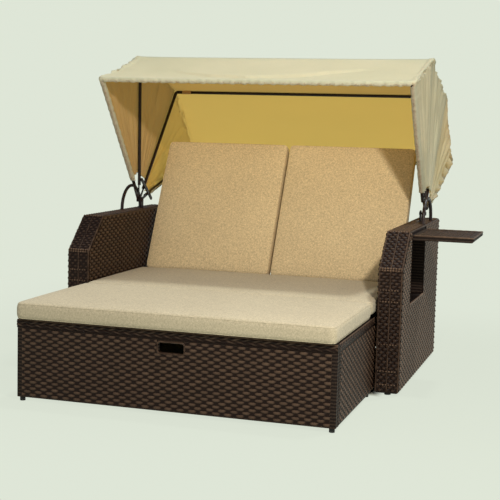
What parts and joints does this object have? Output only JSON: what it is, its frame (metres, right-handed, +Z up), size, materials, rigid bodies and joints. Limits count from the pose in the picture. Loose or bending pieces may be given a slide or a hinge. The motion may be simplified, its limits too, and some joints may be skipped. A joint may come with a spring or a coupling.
{
  "type": "outdoor daybed with canopy",
  "caption": "Woven outdoor daybed with wide arms, pull-out footrest, folding seat cushion, reclining backs, flip-up side tables and a fan canopy on hinged hoops.",
  "frame": {"origin": "On the floor, under the middle of the whole daybed's outline, with the footrest pulled out, the right side table open and the canopy spread.", "axes": "+X to the sitter's left as seen from the front (the right side of the picture), +Y from the footrest to the back, +Z up."},
  "size_m": [1.785, 2.2724, 1.4377],
  "materials": {
    "wicker": "flat woven resin strands, dark brown with paler flecks, slightly glossy",
    "frame_metal": "dark brown powder coat",
    "hinge_steel": "zinc plated",
    "slats": "brown stained slats",
    "foot_plastic": "black",
    "seat_cloth": "beige woven cloth",
    "back_cloth": "beige woven cloth",
    "canopy_cloth": "thin cream cloth that lets light through"
  },
  "bodies": {
    "base": {"left_arm": "wicker", "right_arm": "wicker", "left_arm_front_foot": "foot_plastic", "left_arm_rear_foot": "foot_plastic", "right_arm_front_foot": "foot_plastic", "right_arm_rear_foot": "foot_plastic", "seat_deck": "slats", "left_side_rail": "frame_metal", "right_side_rail": "frame_metal", "rear_base_panel": "wicker", "seat_cushion": "seat_cloth", "left_tray_pin": "hinge_steel", "right_tray_pin": "hinge_steel", "left_outer_ratchet_base": "hinge_steel", "left_inner_ratchet_base": "hinge_steel", "right_outer_ratchet_base": "hinge_steel", "right_inner_ratchet_base": "hinge_steel", "middle_hoop_left_leg": "frame_metal", "middle_hoop_right_leg": "frame_metal", "middle_hoop_bar": "frame_metal", "left_canopy_stay": "frame_metal", "right_canopy_stay": "frame_metal", "left_fan_pivot": "frame_metal", "right_fan_pivot": "frame_metal", "left_guard": "frame_metal", "right_guard": "frame_metal", "canopy_front_cloth": "canopy_cloth", "canopy_top_cloth": "canopy_cloth"},
    "footrest": {"footrest_front_panel": "wicker", "footrest_left_panel": "wicker", "footrest_right_panel": "wicker", "footrest_slats": "slats", "footrest_left_front_foot": "foot_plastic", "footrest_left_rear_foot": "foot_plastic", "footrest_right_front_foot": "foot_plastic", "footrest_right_rear_foot": "foot_plastic"},
    "foot_cushion": {"foot_cushion": "seat_cloth"},
    "left_back": {"left_back_frame": "frame_metal", "left_back_panel": "wicker", "left_back_cushion": "back_cloth", "left_outer_ratchet_strap": "hinge_steel", "left_inner_ratchet_strap": "hinge_steel"},
    "right_back": {"right_back_frame": "frame_metal", "right_back_panel": "wicker", "right_back_cushion": "back_cloth", "right_outer_ratchet_strap": "hinge_steel", "right_inner_ratchet_strap": "hinge_steel"},
    "front_hoop": {"front_hoop_left_leg": "frame_metal", "front_hoop_right_leg": "frame_metal", "front_hoop_bar": "frame_metal"},
    "upper_hoop": {"upper_hoop_left_leg": "frame_metal", "upper_hoop_right_leg": "frame_metal", "upper_hoop_bar": "frame_metal", "canopy_rear_cloth": "canopy_cloth"},
    "rear_hoop": {"rear_hoop_left_leg": "frame_metal", "rear_hoop_right_leg": "frame_metal", "rear_hoop_bar": "frame_metal"},
    "left_tray": {"left_tray": "wicker"},
    "right_tray": {"right_tray": "wicker"}
  },
  "joints": [
    {"name": "footrest_slide", "type": "slide", "parent": "base", "child": "footrest", "axis": [0, 1, 0], "range_m": [0, 0.6]},
    {"name": "foot_cushion_fold", "type": "hinge", "parent": "base", "child": "foot_cushion", "pos_m": [0, -0.48677, 0.4145], "axis": [-1, 0, 0], "range_deg": [0, 180]},
    {"name": "left_back_recline", "type": "hinge", "parent": "base", "child": "left_back", "pos_m": [-0.46, 0.24323, 0.327], "axis": [-1, 0, 0], "range_deg": [-12, 52]},
    {"name": "right_back_recline", "type": "hinge", "parent": "base", "child": "right_back", "pos_m": [0.197, 0.24323, 0.327], "axis": [-1, 0, 0], "range_deg": [-12, 52]},
    {"name": "front_hoop_fold", "type": "hinge", "parent": "base", "child": "front_hoop", "pos_m": [-0.1315, 0.30323, 0.72], "axis": [-1, 0, 0], "range_deg": [0, 23], "deforming": ["canopy_front_cloth"]},
    {"name": "upper_hoop_fold", "type": "hinge", "parent": "base", "child": "upper_hoop", "pos_m": [-0.1315, 0.30323, 0.72], "axis": [1, 0, 0], "range_deg": [0, 28], "deforming": ["canopy_top_cloth"]},
    {"name": "rear_hoop_fold", "type": "hinge", "parent": "upper_hoop", "child": "rear_hoop", "pos_m": [-0.1315, 0.30323, 0.72], "axis": [1, 0, 0], "range_deg": [0, 20], "deforming": ["canopy_rear_cloth"]},
    {"name": "left_tray_fold", "type": "hinge", "parent": "base", "child": "left_tray", "pos_m": [-0.8825, -0.05577, 0.653], "axis": [0, 1, 0], "range_deg": [0, 90]},
    {"name": "right_tray_fold", "type": "hinge", "parent": "base", "child": "right_tray", "pos_m": [0.6195, -0.05577, 0.653], "axis": [0, 1, 0], "range_deg": [0, 90]}
  ],
  "couplings": [
    {"joint": "foot_cushion_fold", "follows": "footrest_slide", "rad_per_m": 5.2359},
    {"joint": "rear_hoop_fold", "follows": "upper_hoop_fold", "ratio": 0.71}
  ]
}
